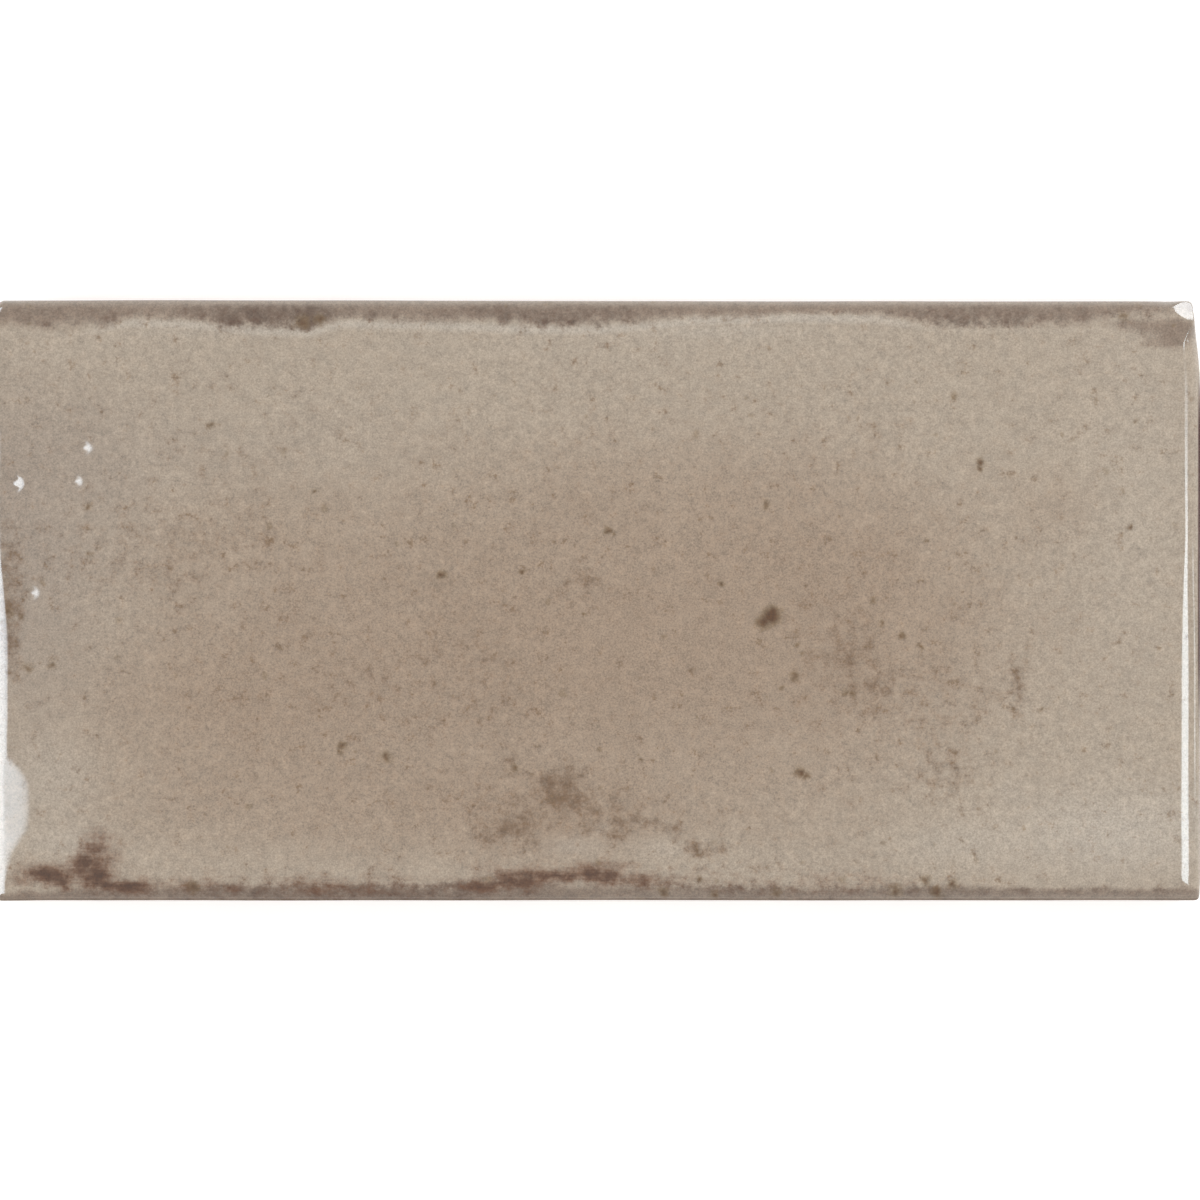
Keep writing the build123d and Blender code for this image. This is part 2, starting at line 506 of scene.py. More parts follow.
def outline(sizes, xs, ys):
    """The tile's outline: its points and outward normals, one for each boundary station."""
    half_x, half_y = sizes.length / 2, sizes.width / 2
    corners = (
        (xs, half_x, half_y, sizes.lower_left_corner, sizes.lower_right_corner),
        (ys, half_y, half_x, sizes.lower_right_corner, sizes.upper_right_corner),
        (xs, half_x, half_y, sizes.upper_left_corner, sizes.upper_right_corner),
        (ys, half_y, half_x, sizes.lower_left_corner, sizes.upper_left_corner),
    )
    sides = []
    for stations_along, half_along, half_out, first, last in corners:
        along, inwards, turn = side_walk(
            stations_along, stations_along[-1], half_along, first, last
        )
        sides.append((along, half_out - inwards, np.sin(turn), np.cos(turn)))
    lower, right, upper, left = sides
    x = around(lower[0], right[1], upper[0], -left[1])
    y = around(-lower[1], right[0], upper[1], left[0])
    across = around(lower[2], right[3], upper[2], -left[3])
    up = around(-lower[3], right[2], upper[3], left[2])
    return x, y, across, up


def strip(first, second):
    """Quads between two closed loops of vertex numbers, facing out when the second is outside."""
    return np.stack((first, second, np.roll(second, -1), np.roll(first, -1)), axis=1)


def grid_quads(numbers, upwards):
    """Quads of a grid of vertex numbers indexed [across, up], facing up or down."""
    corners = (numbers[:-1, :-1], numbers[1:, :-1], numbers[1:, 1:], numbers[:-1, 1:])
    quads = np.stack([corner.ravel() for corner in corners], axis=1)
    return quads if upwards else quads[:, ::-1]


def rim_shape(sizes, x, y):
    """Width, drop and squareness of the roll round the outline. Squareness 2 is an ellipse and
    less is closer to a flat bevel. The roll is wide low at the right end, narrow and flatter
    above, narrow at the left end but for a stretch in its middle, and tight in the upper right
    corner."""
    end_starts, end_full = 0.45, 0.49
    ellipse, flatter = 2.0, 0.40
    corner_width, corner_drop = 0.2 * MM, 0.8 * MM
    down = photo_row(y)
    left_end = ease(end_starts, end_full, -x / sizes.length)
    right_end = ease(end_starts, end_full, x / sizes.length)
    upper_right = right_end * (1 - ease(*RIGHT_ROLL_WIDENS, down))
    lobe = left_end * ease(*LEFT_LOBE_STARTS, down)
    narrowing = 1.62 - 0.17 * ease(*LEFT_ROLL_STEPS, down) - 1.45 * ease(*LEFT_ROLL_WIDENS, down)
    narrowing = left_end * (narrowing - 0.3 * ease(*LEFT_ROLL_SWELLS, down)) + 1.3 * lobe
    widening = right_end - 1.25 * upper_right + 0.12 * uneven(x, y, *ROLL_WIDTH_DRIFT)
    width = sizes.roll_width + (widening - narrowing) * MM
    drop = sizes.roll_drop + (0.10 * uneven(x, y, *ROLL_DROP_DRIFT) - 0.7 * lobe) * MM
    square = ellipse - flatter * upper_right
    from_corner = sizes.length / 2 - x + sizes.width / 2 - y
    right_corner = 1 - ease(2.0 * MM, 4.8 * MM, from_corner)
    width += (corner_width - width) * right_corner
    drop += (corner_drop - drop) * right_corner
    square += (ellipse - square) * right_corner
    return width, drop, square


def outline_waver(sizes, x, y, normal_x):
    """How far the outline wavers inwards: a little everywhere, more along the long sides, and
    most beside the upper right corner."""
    half_x, half_y = sizes.length / 2, sizes.width / 2
    upper, lower = y / half_y, -y / half_y
    waver = 0.06 * MM * (1 + uneven(x, y, *OUTLINE_WAVER)) / 2
    pull = hill(x, y, (half_x, half_y - 1 * MM), 2.2 * MM, 5.5 * MM)
    waver += 0.75 * MM * pull * np.clip(normal_x, 0, 1)
    waver += 0.12 * MM * ease(0.6, 1.0, upper) * ease(-0.6, 0.6, x / half_x)
    waver += 0.20 * MM * ease(0.9, 0.99, upper)
    waver += 0.13 * MM * ease(0.9, 0.99, lower)
    return waver


def tile_surface(sizes):
    """The whole tile as points, quads and the number of glazed quads.

    The face is a grid of heights. Closed loops then carry a profile round the outline: the last
    flat stretch, the roll, the glazed side with its bead, the bare side, the chamfer and the bed.
    The back is a second grid of heights, turned to face down."""
    flat_loops, roll_loops = 20, 20
    outline_gap = 0.02 * MM
    shortest_glaze, shortest_bare = 1.0 * MM, 1.5 * MM
    bead_height, bare_top = 0.45 * MM, 0.06 * MM
    glaze_thickness, chip_depth = 0.17 * MM, 0.05 * MM

    back_x = back_stations(sizes, sizes.length)
    back_y = back_stations(sizes, sizes.width)
    face_x = face_stations(sizes.length / 2 - FACE_INSET, 0, len(back_x))
    face_y = face_stations(sizes.width / 2 - FACE_INSET, 1, len(back_y))

    points = []
    count = 0

    def add(x, y, z):
        """Adds points and returns their numbers in the same layout."""
        nonlocal count
        x, y, z = np.broadcast_arrays(x, y, z)
        points.append(np.stack((x.ravel(), y.ravel(), z.ravel()), axis=1))
        count += x.size
        return np.arange(count - x.size, count).reshape(x.shape)

    def face_points(x, y, fall=0.0):
        """Adds points of the face, lowered by a fall."""
        return add(x, y, sink_pinholes(x, y, face_height(sizes, x, y) - fall))

    grid_x, grid_y = np.meshgrid(face_x, face_y, indexing="ij")
    face = face_points(grid_x, grid_y)
    inner_x, inner_y = loop_of(grid_x), loop_of(grid_y)

    edge_x, edge_y, normal_x, normal_y = outline(sizes, face_x, face_y)
    waver = outline_waver(sizes, edge_x, edge_y, normal_x)
    width, drop, square = rim_shape(sizes, edge_x, edge_y)

    def inset(amount):
        """The outline moved in by an amount, with its waver."""
        amount = np.maximum(amount + waver, 0)
        return edge_x - normal_x * amount, edge_y - normal_y * amount

    outer_x, outer_y = inset(outline_gap)

    def rim_loop(away, fall):
        """Adds a loop of the face an amount in from the outline, lowered by a fall."""
        x = outer_x + (inner_x - outer_x) * away / FACE_INSET
        y = outer_y + (inner_y - outer_y) * away / FACE_INSET
        return face_points(x, y, fall)

    loops = []
    for share in np.arange(1, flat_loops) / flat_loops:
        loops.append(rim_loop(FACE_INSET + (width - FACE_INSET) * share, 0.0))
    for angle in pi / 2 * np.arange(roll_loops + 1) / roll_loops:
        away = width * (1 - sin(angle) ** (2 / square))
        loops.append(rim_loop(away, drop * (1 - cos(angle) ** (2 / square))))

    roll_foot = face_height(sizes, outer_x, outer_y) - drop
    runs = uneven(edge_x, edge_y, *GLAZE_RUNS) + 0.6 * uneven(edge_x, edge_y, *GLAZE_DRIPS)
    line = sizes.glaze_line + 0.60 * MM * runs
    line = np.clip(line, shortest_bare, roll_foot - shortest_glaze)
    bead_top = line + bead_height
    for share in (0.33, 0.66, 1.0):
        loops.append(add(outer_x, outer_y, roll_foot + (bead_top - roll_foot) * share))
    for rise, move in ((0.22, 0.0), (0.08, 0.01), (0.0, 0.07)):
        loops.append(add(*inset(move * MM), line + rise * MM))
    glazed_loops = len(loops)

    # The bare side is set back from the glaze, chipped and drafted
    bare_inset = glaze_thickness + chip_depth * np.abs(uneven(edge_x, edge_y, *CLAY_CHIPS))
    line -= bare_top
    for share in (0.04, 0.2, 0.4, 0.6, 0.8, 1.0):
        z = line + (sizes.back_chamfer - line) * share
        lean = np.maximum(sizes.land_foot - z, 0) * tan(sizes.side_draft)
        loops.append(add(*inset(bare_inset + lean), z))
    bare_inset += sizes.land_foot * tan(sizes.side_draft)
    for share in (0.35, 0.7, 1.0):
        last_x, last_y = inset(bare_inset + sizes.back_chamfer * share)
        loops.append(add(last_x, last_y, sizes.back_chamfer * (1 - share) ** 1.2))

    bed_x, bed_y = np.meshgrid(back_x, back_y, indexing="ij")
    target_x, target_y = loop_of(bed_x), loop_of(bed_y)
    for share in (0.12, 0.4, 0.7):
        x = last_x + (target_x - last_x) * share
        y = last_y + (target_y - last_y) * share
        loops.append(add(x, y, 0.0))
    back = add(bed_x, bed_y, back_height(sizes, bed_x, bed_y))

    rings = [loop_of(face), *loops, loop_of(back)]
    strips = [strip(inner, outer) for inner, outer in zip(rings, rings[1:])]
    glazed = [grid_quads(face, True), *strips[:glazed_loops]]
    bare = [*strips[glazed_loops:], grid_quads(back, False)]
    quads = np.concatenate(glazed + bare)
    return np.concatenate(points), quads, sum(len(part) for part in glazed)


def back_height(sizes, x, y):
    """Height of the back: pockets with leaning walls, a flat floor and cut corners, and ribs left
    at the bedding plane."""
    run = sizes.pocket_depth * tan(POCKET_WALL)
    depths = []
    for values, extent in ((x, sizes.length), (y, sizes.width)):
        centres, half = pocket_layout(sizes, extent)
        nearest = np.abs(values[..., None] - centres).min(axis=-1)
        depths.append(half - nearest)
    corner_cut = (depths[0] + depths[1] - POCKET_CORNER_CUT) / sqrt(2)
    inside = np.minimum(np.minimum(depths[0], depths[1]), corner_cut)
    return sizes.pocket_depth * np.clip(inside / run, 0, 1)


def wash_field(x, y, washes):
    """How strongly any of the washes lies at each point: 1 less the product of what each of their
    hills leaves over."""
    left = np.ones_like(x)
    for wash in washes:
        place = photo_place(wash.across, wash.down)
        half_x, half_y = wash.half_width * PIXEL, wash.half_height * PIXEL
        left *= 1 - wash.strength * hill(x, y, place, half_x, half_y)
    return 1 - left


def rim_field(x, depth, rim):
    """The stained rim along one edge, 1 at the outline, a half at its reach and 0 at twice its
    reach, and the strength of its blotches."""
    places = [photo_place(part.across, 0)[0] for part in rim]
    reach = np.interp(x, places, [part.reach for part in rim]) * PIXEL
    blotch = np.interp(x, places, [part.blotch for part in rim])
    stain = np.clip(1 - depth / reach / 2, 0, 1)
    strength = np.interp(x, places, [part.stain for part in rim])
    return strength * stain, blotch * ease(0.25, 0.6, stain), reach


def glaze_fields(sizes, x, y, z):
    """The maps of the glaze's colour and polish, one value for each point."""
    rim_top = 0.25 * MM
    half_x, half_y = sizes.length / 2, sizes.width / 2
    upper_in, lower_in, right_in = half_y - y, half_y + y, half_x - x
    across, down = x / PIXEL + PHOTO_SIDE / 2, photo_row(y)
    upper, upper_blotch, upper_reach = rim_field(x, upper_in - rim_top, UPPER_RIM)
    lower, lower_blotch, _ = rim_field(x, lower_in - rim_top, LOWER_RIM)
    upper_blotch *= ease(0.15 * MM, 1.15 * MM, upper_in)
    stain = np.maximum(np.maximum(upper, lower), wash_field(x, y, STAIN_WASHES))
    blotch = np.maximum(np.maximum(upper_blotch, lower_blotch), wash_field(x, y, BLOTCH_WASHES))

    # Worn pale along both long edges, and pale just inside the upper rim
    worn = 0.32 * swell(upper_in, 0.66 * MM, 0.54 * MM)
    worn_low = 0.22 * swell(lower_in, 0.75 * MM, 0.50 * MM)
    worn += worn_low * ease(*LOWER_WEAR_STARTS, across) * (1 - 0.7 * swell(across, *LOWER_WEAR_GAP))
    halo = 0.72 * swell(upper_in - rim_top, upper_reach + 0.5 * MM, 0.8 * MM)
    halo *= (ease(*HALO_STARTS, across) * 0.6 + 0.4) * (1 - 0.6 * ease(*HALO_FADES, across))

    # Bare along part of the right edge, with painted shade there for the tile's side in shadow, and
    # duller there, at the lower edge and in the pinholes
    bare = ease(0.62 * MM, 0.34 * MM, right_in) * ease(3.6 * MM, 6.0 * MM, z)
    bare *= ease(*BARE_AND_SHADED_EDGE_STARTS, down) * (1 - ease(*BARE_AND_SHADED_EDGE_ENDS, down))
    dry = np.maximum(bare, ease(0.75 * MM, 0.35 * MM, lower_in))
    for hole in PINHOLES:
        spread = 1.3 * hole.half_width * PIXEL
        inside = hill(x, y, photo_place(hole.across + 3, hole.down), spread, spread)
        dry = np.maximum(dry, hole.dullness * inside)
    return {
        "cool_wash": wash_field(x, y, COOL_WASHES),
        "warm_wash": wash_field(x, y, WARM_WASHES),
        "pale_wash": np.maximum(wash_field(x, y, PALE_WASHES), halo),
        "smoke_and_shade": wash_field(x, y, SMOKE_AND_SHADE_WASHES),
        "rust": wash_field(x, y, RUST_WASHES),
        "rim_stain": stain,
        "rim_blotch": blotch,
        "bare_and_shaded_edge": bare,
        "worn_edge": worn,
        "dry_edge": dry,
        "thin_glaze": ease(sizes.thickness - 1.1 * MM, sizes.thickness - 2.6 * MM, z),
    }


class Bench:
    """A node tree with short ways to add nodes and wire them."""

    def __init__(self, tree):
        self.tree = tree

    def feed(self, socket, value):
        """Links an output to a socket, or sets the socket's own value."""
        if isinstance(value, bpy.types.NodeSocket):
            self.tree.links.new(value, socket)
        else:
            socket.default_value = value

    def node(self, kind, inputs=None, **settings):
        """A node with its settings, and its inputs by name or number."""
        made = self.tree.nodes.new(kind)
        for name, value in settings.items():
            setattr(made, name, value)
        for name, value in (inputs or {}).items():
            self.feed(made.inputs[name], value)
        return made

    def math(self, operation, *values):
        """One Math node's result."""
        inputs = dict(enumerate(values))
        return self.node("ShaderNodeMath", inputs, operation=operation).outputs[0]

    def vector(self, operation, *values, output=0):
        """One Vector Math node's result."""
        inputs = dict(enumerate(values))
        return self.node("ShaderNodeVectorMath", inputs, operation=operation).outputs[output]

    def scaled(self, vector, factor):
        """A vector or colour times a number."""
        inputs = {0: vector, "Scale": factor}
        return self.node("ShaderNodeVectorMath", inputs, operation="SCALE").outputs[0]

    def noise(self, vector, size, detail, roughness, output="Fac"):
        """A noise whose features are about size across, in the vector's own unit."""
        inputs = {"Vector": vector, "Scale": 1 / size, "Detail": detail, "Roughness": roughness}
        return self.node("ShaderNodeTexNoise", inputs).outputs[output]

    def centred(self, value, factor):
        """How far a noise is above a half, times a factor."""
        return self.math("MULTIPLY", self.math("SUBTRACT", value, 0.5), factor)

    def between(self, value, low, high, out_low=0.0, out_high=1.0):
        """A smooth step from out_low to out_high as the value goes from low to high."""
        inputs = {0: value, 1: low, 2: high, 3: out_low, 4: out_high}
        made = self.node("ShaderNodeMapRange", inputs, interpolation_type="SMOOTHSTEP")
        return made.outputs[0]

    def mix(self, factor, first, second):
        """Two colours mixed by a factor."""
        inputs = {MIX_FACTOR: factor, MIX_FIRST: first, MIX_SECOND: second}
        return self.node("ShaderNodeMix", inputs, data_type="RGBA").outputs[MIX_RESULT]

    def bump(self, shader, height, strength, distance):
        """Roughens a shader's surface by a height."""
        inputs = {"Height": height, "Strength": strength, "Distance": distance}
        self.feed(shader.inputs["Normal"], self.node("ShaderNodeBump", inputs).outputs[0])

    def field(self, name):
        """One of the tile's own maps."""
        return self.node("ShaderNodeAttribute", attribute_name=name).outputs["Fac"]

    def group(self, tree, **inputs):
        """A node group placed with its own values."""
        made = self.node("ShaderNodeGroup", node_tree=tree)
        for name, value in inputs.items():
            self.feed(made.inputs[name.replace("_", " ").capitalize()], value)
        return made


def new_group(name, inputs, outputs):
    """An empty shader node group with its bench. Its sockets are numbers, but for Position."""
    tree = bpy.data.node_groups.new(name, "ShaderNodeTree")
    for direction, titles in (("INPUT", inputs), ("OUTPUT", outputs)):
        for title in titles.split():
            kind = "NodeSocketVector" if title == "Position" else "NodeSocketFloat"
            tree.interface.new_socket(title, in_out=direction, socket_type=kind)
    bench = Bench(tree)
    given = bench.node("NodeGroupInput").outputs
    result = bench.node("NodeGroupOutput").inputs
    return tree, bench, given, result


def grain_group():
    """Fired grain of equal strength at four sizes from the given one down, with a finer grit: a
    factor about 1 for the colour, and the grain's height."""
    tree, bench, given, result = new_group(
        "Fired grain", "Position Size Depth Grit", "Factor Height"
    )
    grit_size = 0.24
    place = bench.vector("DIVIDE", given["Position"], given["Size"])
    noise = bench.noise(place, 1.0, detail=3.0, roughness=1.0)
    height = bench.math("SUBTRACT", noise, 0.5)
    fine = bench.noise(given["Position"], grit_size, detail=1.0, roughness=1.0)
    fine = bench.math("MULTIPLY_ADD", bench.math("SUBTRACT", fine, 0.5), given["Grit"], 1.0)
    bench.feed(result["Factor"], bench.math("MULTIPLY_ADD", height, given["Depth"], fine))
    bench.feed(result["Height"], height)
    return tree


def scatter_group():
    """Scattered specks: round spots in the cells of a Voronoi pattern, kept only in some cells.
    The cell's own random colour draws its size, mostly small, and its strength."""
    tree, bench, given, result = new_group(
        "Scattered specks", "Position Spacing Radius Kept", "Mask"
    )
    place = bench.vector("DIVIDE", given["Position"], given["Spacing"])
    cells = bench.node("ShaderNodeTexVoronoi", {"Vector": place, "Scale": 1.0})
    draw = bench.node("ShaderNodeSeparateColor", {0: cells.outputs["Color"]}).outputs
    spread = bench.math("MULTIPLY_ADD", bench.math("POWER", draw[1], 5.0), 2.4, 0.45)
    radius = bench.math("MULTIPLY", given["Radius"], spread)
    spot = bench.between(
        bench.math("DIVIDE", cells.outputs["Distance"], radius), 0.30, 1.0, 1.0, 0.0
    )
    kept = bench.math("LESS_THAN", draw[0], given["Kept"])
    strength = bench.math("MULTIPLY_ADD", draw[2], 0.7, 0.3)
    bench.feed(result["Mask"], bench.math("MULTIPLY", bench.math("MULTIPLY", spot, kept), strength))
    return tree


def cleared(owner):
    """The bench of an owner's node tree, emptied."""
    owner.use_nodes = True
    owner.node_tree.nodes.clear()
    return Bench(owner.node_tree)


def new_material(name):
    """An empty material, its bench, its shader and the point in millimetres."""
    material = bpy.data.materials.new(name)
    bench = cleared(material)
    shader = bench.node("ShaderNodeBsdfPrincipled")
    bench.node("ShaderNodeOutputMaterial", {"Surface": shader.outputs["BSDF"]})
    place = bench.node("ShaderNodeTexCoord").outputs["Object"]
    return material, bench, shader, bench.scaled(place, 1 / MM)


def solid_colour(colour):
    """A colour with full alpha."""
    return (*colour, 1.0)


def nearest_speck(bench, position):
    """How far the closest speck is: the least of each one's distance over its radius plus what
    it lacks in full strength, so 0 is the middle of a full one."""
    nearest = 9.0
    flat = bench.vector("MULTIPLY", position, (1.0, 1.0, 0.0))
    for speck in SPECKS:
        across, up = photo_place(speck.across, speck.down)
        middle = (across / MM, up / MM, 0.0)
        away = bench.vector("DISTANCE", flat, middle, output="Value")
        share = MM / (speck.radius * PIXEL)
        value = bench.math("MULTIPLY_ADD", away, share, 1 - speck.strength)
        nearest = bench.math("MINIMUM", nearest, value)
    return nearest


def glaze_material(colours, grain, scatter):
    """The glossy taupe glaze with its washes, stained rim, smudges and specks."""
    material, bench, shader, place = new_material("taupe glaze")

    drift = bench.noise(place, *DRIFT)
    cloud = bench.centred(drift, 2.0)
    fray = bench.centred(bench.noise(place, *FRAY), 2.0)

    def loosened(name, by_cloud, by_fray):
        """A map with some of both noises added."""
        loose = bench.math("MULTIPLY_ADD", fray, by_fray, bench.math("MULTIPLY", cloud, by_cloud))
        return bench.math("ADD", bench.field(name), loose)

    def tint(colour, mask, name, strength=1.0):
        """Mixes one of the tile's colours in by a mask."""
        if strength != 1.0:
            mask = bench.math("MULTIPLY", mask, strength)
        return bench.mix(mask, colour, solid_colour(getattr(colours, name)))

    def laid(colour, coats):
        """The coats, one over the other. Each stays 0 where the noises alone can't reach."""
        for coat in coats:
            loose = loosened(coat.field, coat.by_cloud, coat.by_fray)
            colour = tint(colour, bench.between(loose, coat.low, coat.high), coat.colour)
        return colour

    colour = laid(solid_colour(colours.taupe), WASH_COATS)
    freckles = bench.between(fray, 0.20, 0.46)
    colour = tint(colour, freckles, "olive", 0.42)
    colour = laid(colour, RIM_COATS)

    # Iron stains, streaked along the tile, with a near black heart
    drawn_out = bench.vector("MULTIPLY", place, (0.22, 2.0, 1.0))
    streaks = bench.centred(bench.noise(drawn_out, *STREAKS), 0.5)
    rusty = bench.math("ADD", loosened("rust", 0.14, 0.54), streaks)
    colour = tint(colour, bench.between(rusty, 0.04, 1.06), "rust", 0.95)
    colour = tint(colour, bench.between(rusty, 0.62, 1.16), "char", 0.85)

    colour = tint(colour, bench.field("thin_glaze"), "rim", 0.15)
    colour = tint(colour, bench.field("worn_edge"), "pale")
    # Painted shade: the bare right edge's near black maroon stands for its side in shadow
    colour = tint(colour, bench.field("bare_and_shaded_edge"), "edge")

    # Specks, bent out of round and ragged, each in a faint olive stain
    bend = bench.noise(place, *BEND, output="Color")
    bend = bench.scaled(bench.vector("ADD", bend, (-0.5, -0.5, -0.5)), 0.7)
    bent = bench.vector("ADD", place, bend)
    stains = bench.group(scatter, position=bent, spacing=2.3, radius=0.13, kept=0.45)
    colour = tint(colour, stains.outputs[0], "olive", 0.60)
    ragged = bench.math("MULTIPLY_ADD", fray, -0.5, nearest_speck(bench, bent))
    colour = tint(colour, bench.between(ragged, 1.50, 0.40), "olive", 0.70)
    colour = tint(colour, bench.between(ragged, 1.10, -0.15), "speck")

    # Fired grain, and a drift of the tone with the noises
    body = bench.group(grain, position=place, size=1.35, depth=0.95, grit=0.85)
    lighter = bench.math("MULTIPLY_ADD", cloud, -0.060, 1.0)
    redder = bench.math("MULTIPLY_ADD", fray, 0.032, lighter)
    bluer = bench.math("MULTIPLY_ADD", fray, -0.026, lighter)
    hue = bench.node("ShaderNodeCombineXYZ", {0: redder, 1: lighter, 2: bluer}).outputs[0]
    colour = bench.vector("MULTIPLY", bench.scaled(colour, body.outputs["Factor"]), hue)
    bench.feed(shader.inputs["Base Color"], colour)

    polish = bench.between(drift, 0.3, 0.7, 0.05, 0.10)
    dryness = bench.math("MULTIPLY", bench.field("dry_edge"), 0.9)
    bench.feed(shader.inputs["Roughness"], bench.math("ADD", polish, dryness))
    shader.inputs["IOR"].default_value = 1.6
    height = bench.noise(place, *ORANGE_PEEL)
    bench.bump(shader, height, 0.10, 0.01 * MM)
    return material


def clay_material(colours, grain, scatter):
    """The bare red body: matt, sandy and dusted."""
    material, bench, shader, place = new_material("fired red clay")
    patches = bench.noise(place, *CLAY_PATCHES)
    dust = bench.between(patches, 0.38, 0.68)
    colour = bench.mix(dust, solid_colour(colours.clay), solid_colour(colours.clay_dust))
    grit = bench.group(scatter, position=place, spacing=0.9, radius=0.22, kept=0.3)
    grit = bench.math("MULTIPLY", grit.outputs[0], 0.5)
    colour = bench.mix(grit, colour, solid_colour(colours.rust))
    body = bench.group(grain, position=place, size=2.4, depth=1.6, grit=0.5)
    bench.feed(shader.inputs["Base Color"], bench.scaled(colour, body.outputs["Factor"]))
    bench.feed(shader.inputs["Roughness"], bench.between(patches, 0.3, 0.7, 0.78, 0.92))
    bench.bump(shader, body.outputs["Height"], 0.5, 0.08 * MM)
    return material


def fill_mesh(name, points, quads, material_numbers):
    """A mesh object from whole arrays of points and quads."""
    mesh = bpy.data.meshes.new(name)
    mesh.vertices.add(len(points))
    mesh.vertices.foreach_set("co", points.astype(np.float32).ravel())
    mesh.loops.add(quads.size)
    mesh.loops.foreach_set("vertex_index", quads.astype(np.int32).ravel())
    mesh.polygons.add(len(quads))
    mesh.polygons.foreach_set("loop_start", np.arange(0, quads.size, 4, dtype=np.int32))
    mesh.polygons.foreach_set("material_index", material_numbers.astype(np.int32))
    mesh.update(calc_edges=True)
    mesh.validate()
    mesh.shade_smooth()
    mesh.set_sharp_from_angle(angle=SHARP_ANGLE)
    piece = bpy.data.objects.new(name, mesh)
    bpy.context.scene.collection.objects.link(piece)
    return piece


class MakeTile(bpy.types.Operator):
    """Makes the glazed tile and its two finishes"""

    bl_idname = "wall_tile.make_tile"
    bl_label = "Make the tile"

    def execute(self, context):
        sizes = context.scene.wall_tile_sizes
        colours = context.scene.wall_tile_colours
        points, quads, glazed = tile_surface(sizes)
        numbers = (np.arange(len(quads)) >= glazed).astype(np.int32)
        piece = fill_mesh("glazed_tile", points, quads, numbers)
        fields = glaze_fields(sizes, points[:, 0], points[:, 1], points[:, 2])
        for name, values in fields.items():
            layer = piece.data.attributes.new(name, "FLOAT", "POINT")
            layer.data.foreach_set("value", values.astype(np.float32))
        grain, scatter = grain_group(), scatter_group()
        piece.data.materials.append(glaze_material(colours, grain, scatter))
        piece.data.materials.append(clay_material(colours, grain, scatter))
        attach(piece, "root")
        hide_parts("tile")
        print("tile triangles", 2 * len(quads))
        return {"FINISHED"}


def floor_material():
    """A pale floor that the camera and reflections see as white, and that keeps shadows."""
    material = bpy.data.materials.new("pale floor")
    bench = cleared(material)
    paint = bench.node("ShaderNodeBsdfDiffuse", {"Color": (0.8, 0.8, 0.8, 1.0)})
    seen = seen_directly(bench)
    lift = bench.node("ShaderNodeEmission", {"Strength": bench.math("MULTIPLY", seen, 0.42)})
    total = bench.node("ShaderNodeAddShader", {0: paint.outputs[0], 1: lift.outputs[0]})
    bench.node("ShaderNodeOutputMaterial", {"Surface": total.outputs[0]})
    return material


def seen_directly(bench):
    """1 for camera, glossy and transmission rays, else 0."""
    rays = bench.node("ShaderNodeLightPath").outputs
    seen = bench.math("MAXIMUM", rays["Is Camera Ray"], rays["Is Glossy Ray"])
    return bench.math("MAXIMUM", seen, rays["Is Transmission Ray"])


def softbox(name, target, turn, lean, size, radiance, fade=(0.001, 0.001), hidden_from=None):
    """A rectangular lamp that the camera doesn't see. turn is its compass angle from +X and lean
    its angle from upright, in degrees, and size its width in the plane of the lean and its length
    across it. It dims to nothing over the fade shares of its width, at the more upright side, and
    of its length, at the +Y end. Glossy or diffuse rays may be hidden from it."""
    lamp = bpy.data.lights.new(name, "AREA")
    lamp.shape = "RECTANGLE"
    lamp.size, lamp.size_y = size
    peak = max(radiance)
    lamp.color = [part / peak for part in radiance]
    lamp.energy = peak * pi * size[0] * size[1]
    holder = bpy.data.objects.new(name, lamp)
    turn, lean = radians(turn), radians(lean)
    away = Vector((cos(turn) * sin(lean), sin(turn) * sin(lean), cos(lean)))
    up = Vector((-sin(turn), cos(turn), 0.0))
    up = up if up.y > 0 else -up
    side = up.cross(away)
    lamp.use_nodes = True
    bench = Bench(lamp.node_tree)
    spot = bench.node("ShaderNodeNewGeometry").outputs["Parametric"]
    spot = bench.node("ShaderNodeSeparateXYZ", {0: spot}).outputs
    upright, lit = (1.0, 1 - fade[0]) if side.z > 0 else (0.0, fade[0])
    across = bench.between(spot["X"], lit, upright, 1.0, 0.0)
    along = bench.between(spot["Y"], 1 - fade[1], 1.0, 1.0, 0.0)
    glow = lamp.node_tree.nodes["Emission"]
    bench.feed(glow.inputs["Strength"], bench.math("MULTIPLY", across, along))
    holder.location = Vector(target) + away * LAMP_DISTANCE
    holder.rotation_mode = "QUATERNION"
    holder.rotation_quaternion = Matrix((side, up, away)).transposed().to_quaternion()
    holder.visible_camera = False
    if hidden_from:
        setattr(holder, "visible_" + hidden_from, False)
    bpy.context.scene.collection.objects.link(holder)


def make_floor(scene):
    """A wide pale floor a hair below the tile's back."""
    reach, gap = 4.0, 0.0001
    mesh = bpy.data.meshes.new("floor")
    corners = [(x * reach, y * reach, -gap) for x, y in ((-1, -1), (1, -1), (1, 1), (-1, 1))]
    mesh.from_pydata(corners, [], [(0, 1, 2, 3)])
    floor = bpy.data.objects.new("floor", mesh)
    mesh.materials.append(floor_material())
    scene.collection.objects.link(floor)


def make_world(scene, fill):
    """Even surroundings that light the tile by the fill and are seen as white."""
    world = bpy.data.worlds.new("studio")
    bench = cleared(world)
    air = bench.mix(seen_directly(bench), solid_colour(fill), (1.0, 1.0, 1.0, 1.0))
    air = bench.node("ShaderNodeBackground", {"Color": air})
    bench.node("ShaderNodeOutputWorld", {"Surface": air.outputs[0]})
    scene.world = world


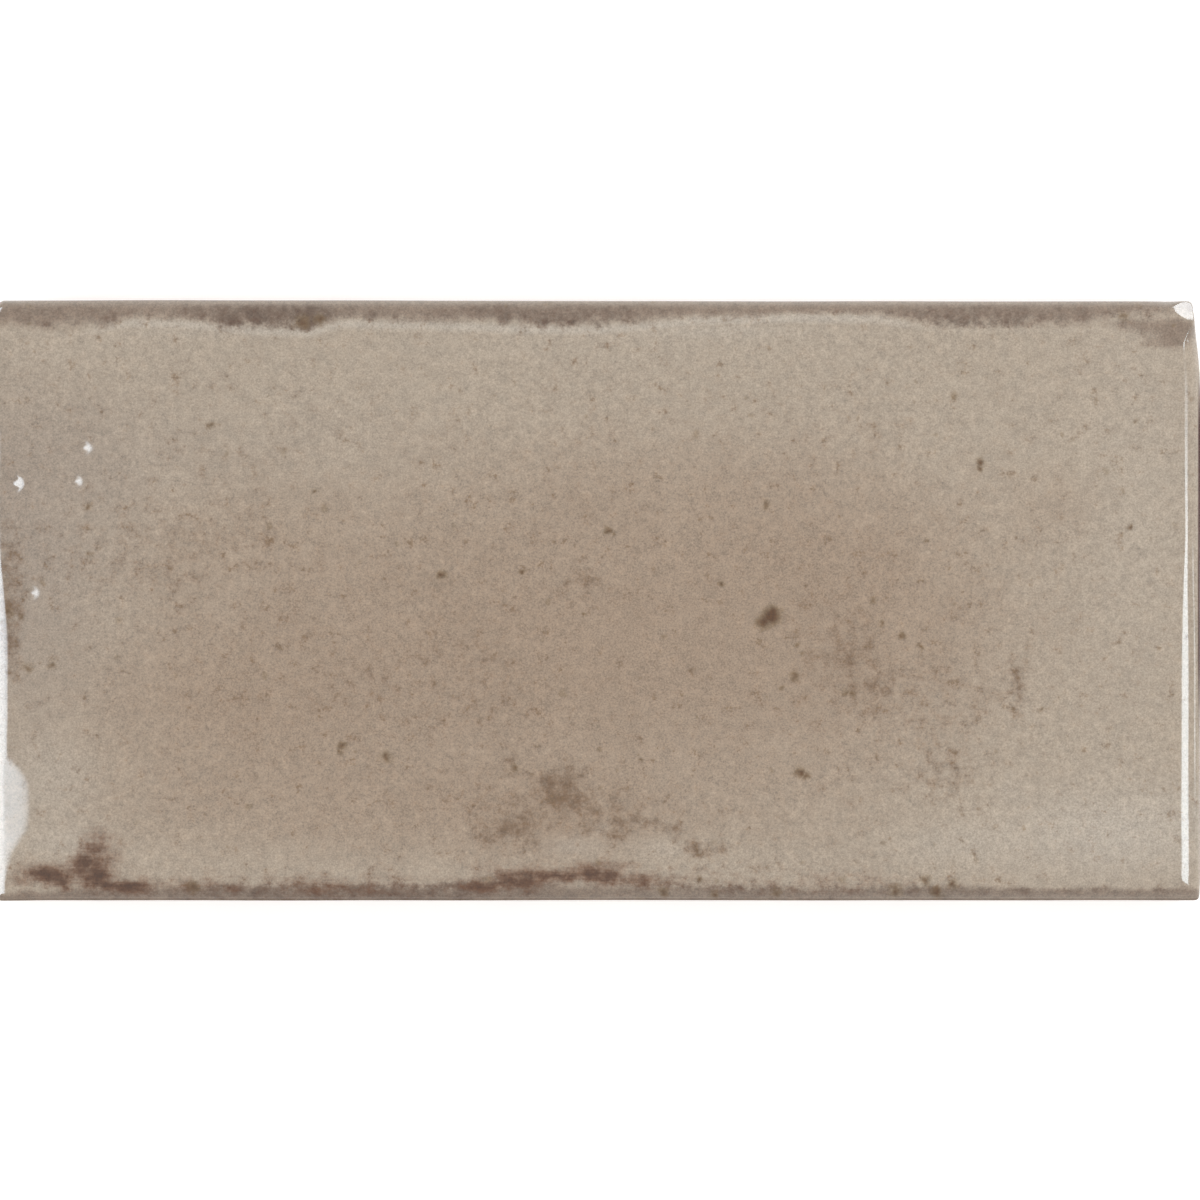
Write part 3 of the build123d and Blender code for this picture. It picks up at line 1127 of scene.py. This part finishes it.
def make_lamps(sizes, studio):
    """The softboxes on both sides, and the cards that only reflections see."""
    half_x, half_y, top = sizes.length / 2, sizes.width / 2, sizes.thickness
    softbox("left softbox", (-half_x, -0.08, top), 180, 62, (0.34, 0.24), studio.low_left,
            hidden_from="glossy")
    softbox("low left card", (-half_x, 0.0, top), 180, 65, (0.5, 0.90), studio.low_left,
            hidden_from="diffuse")
    softbox("high left card", (-half_x, 0.0, top), 180, 38.5, (0.27, 0.90), studio.high_left,
            fade=(0.5, 0.001), hidden_from="diffuse")
    softbox("right softbox", (half_x, -0.02, top), 0, 35, (0.28, 0.30), studio.right,
            fade=(0.15, 0.50))
    softbox("right strip", (half_x, -0.02, top), 0, 72, (0.12, 0.07),
            [0.6 * part for part in studio.right], fade=(0.6, 0.5), hidden_from="diffuse")
    softbox("corner softbox", (half_x, half_y, top), 49, 58, (0.30, 0.30), studio.corner,
            fade=(0.25, 0.001))


def make_camera(scene, sizes, lens):
    """A camera straight above the tile that frames its outline as the photograph does."""
    camera = bpy.data.cameras.new("camera")
    camera.lens = lens
    camera.clip_start, camera.clip_end = 0.01, 20.0
    shown = PHOTO_SIDE * MM / OUTLINE_PIXELS_PER_MM
    outline_level = sizes.thickness - sizes.roll_drop
    distance = shown * camera.lens / camera.sensor_width
    holder = bpy.data.objects.new("camera", camera)
    holder.location = (PHOTO_CENTRE_ACROSS, 0.0, outline_level + distance)
    scene.collection.objects.link(holder)
    scene.camera = holder


class SetStage(bpy.types.Operator):
    """Makes the floor, the surroundings, the lamps and the camera"""

    bl_idname = "wall_tile.set_stage"
    bl_label = "Set the stage"

    def execute(self, context):
        scene = context.scene
        sizes = scene.wall_tile_sizes
        studio = scene.wall_tile_studio
        make_floor(scene)
        make_world(scene, studio.fill)
        make_lamps(sizes, studio)
        make_camera(scene, sizes, studio.lens)
        scene.view_settings.view_transform = "Standard"
        return {"FINISHED"}


class TilePanel(bpy.types.Panel):
    """Lists the tile's operators, sizes and colours"""

    bl_idname = "VIEW3D_PT_wall_tile"
    bl_label = "Wall tile"
    bl_space_type = "VIEW_3D"
    bl_region_type = "UI"
    bl_category = "Wall tile"

    def draw(self, context):
        scene = context.scene
        for operator in OPERATORS:
            self.layout.operator(operator.bl_idname)
        for settings in (scene.wall_tile_sizes, scene.wall_tile_colours, scene.wall_tile_studio):
            box = self.layout.box()
            for name in settings.bl_rna.properties.keys():
                if name not in ("rna_type", "name"):
                    box.prop(settings, name)


OPERATORS = (MakeTile, SetStage)
SETTINGS = {
    "wall_tile_sizes": TileSizes,
    "wall_tile_colours": TileColours,
    "wall_tile_studio": StudioSettings,
}


def register():
    """Registers the classes and hangs their settings on the scene."""
    for made in (*SETTINGS.values(), *OPERATORS, TilePanel):
        bpy.utils.register_class(made)
    for name, made in SETTINGS.items():
        setattr(bpy.types.Scene, name, PointerProperty(type=made))


def unregister():
    """Undoes register()."""
    for name in SETTINGS:
        delattr(bpy.types.Scene, name)
    for made in (TilePanel, *reversed(OPERATORS), *reversed(SETTINGS.values())):
        bpy.utils.unregister_class(made)


def main():
    """Builds the tile and its stage."""
    register()
    bpy.ops.wall_tile.make_tile()
    bpy.ops.wall_tile.set_stage()


if __name__ == "__main__":
    main()
